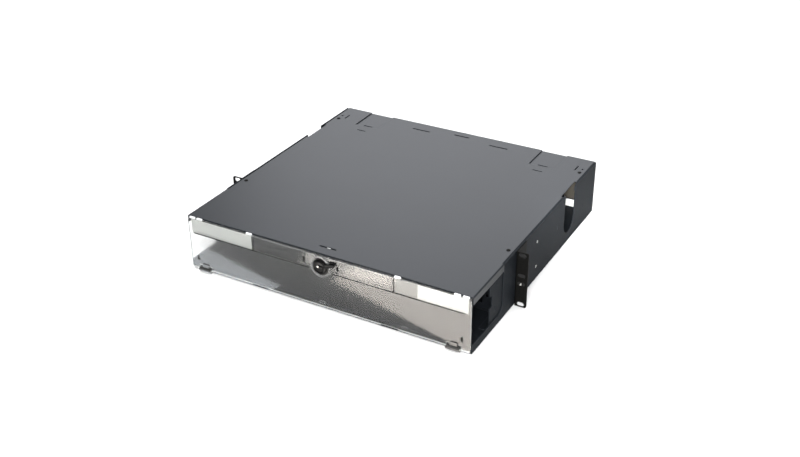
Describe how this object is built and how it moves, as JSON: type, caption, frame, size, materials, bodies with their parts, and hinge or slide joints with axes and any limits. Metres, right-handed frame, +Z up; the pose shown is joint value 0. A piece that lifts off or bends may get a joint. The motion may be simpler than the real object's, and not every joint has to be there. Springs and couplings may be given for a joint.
{
  "type": "rack-mount fibre enclosure",
  "caption": "Flat rack-mount fibre enclosure: sheet-metal chassis with side cable openings and rack ears, and a clear drop-down front door with a turning latch.",
  "frame": {"origin": "on the underside of the chassis, midway between the ears, below the rear faces of the rack ears (the plane of the rack rails)", "axes": "+X to the right seen from the front, +Y to the rear, +Z up"},
  "size_m": [0.4826, 0.4407, 0.0868],
  "materials": {
    "powder_coated_steel": "satin fine-texture powder coat",
    "black_coated_steel": "satin black coat",
    "zinc_plated_steel": "bright zinc plate",
    "clear_plastic": "clear, glossy",
    "black_plastic": "moulded",
    "label_grey": "printed card",
    "label_white": "write-on card"
  },
  "bodies": {
    "chassis": {"base_pan": "powder_coated_steel", "top_cover": "powder_coated_steel", "rear_cover": "powder_coated_steel", "adapter_frame": "powder_coated_steel", "side_plate_left": "powder_coated_steel", "side_plate_right": "powder_coated_steel", "tie_bracket_left": "powder_coated_steel", "tie_bracket_right": "powder_coated_steel", "rack_ear_left": "black_coated_steel", "rack_ear_right": "black_coated_steel", "rear_cover_screws": "black_coated_steel", "cover_screws": "black_coated_steel", "ear_screws_left": "zinc_plated_steel", "ear_screws_right": "zinc_plated_steel", "clinch_nuts": "zinc_plated_steel", "spool_studs": "zinc_plated_steel", "spool_nuts": "zinc_plated_steel", "hinge_pin_left": "zinc_plated_steel", "hinge_pin_right": "zinc_plated_steel", "slack_spool_left": "black_plastic", "slack_spool_right": "black_plastic", "hinge_leaf_left": "black_plastic", "hinge_leaf_right": "black_plastic"},
    "door": {"door_panel": "clear_plastic", "label_holder_left": "clear_plastic", "label_holder_right": "clear_plastic", "label_left": "label_grey", "label_right": "label_grey", "write_on_label": "label_white", "hinge_clip_left": "black_plastic", "hinge_clip_right": "black_plastic", "latch_bush": "black_plastic", "latch_nut": "zinc_plated_steel"},
    "latch": {"latch_knob": "black_plastic", "latch_spindle": "zinc_plated_steel", "latch_pawl": "black_plastic", "pawl_screw": "zinc_plated_steel"}
  },
  "joints": [
    {"name": "door_hinge", "type": "hinge", "parent": "chassis", "child": "door", "pos_m": [0, -0.1345, 0.004], "axis": [1, 0, 0], "range_deg": [0, 90]},
    {"name": "latch_turn", "type": "hinge", "parent": "door", "child": "latch", "pos_m": [0, -0.135, 0.0672], "axis": [0, -1, 0], "range_deg": [0, 90]}
  ]
}
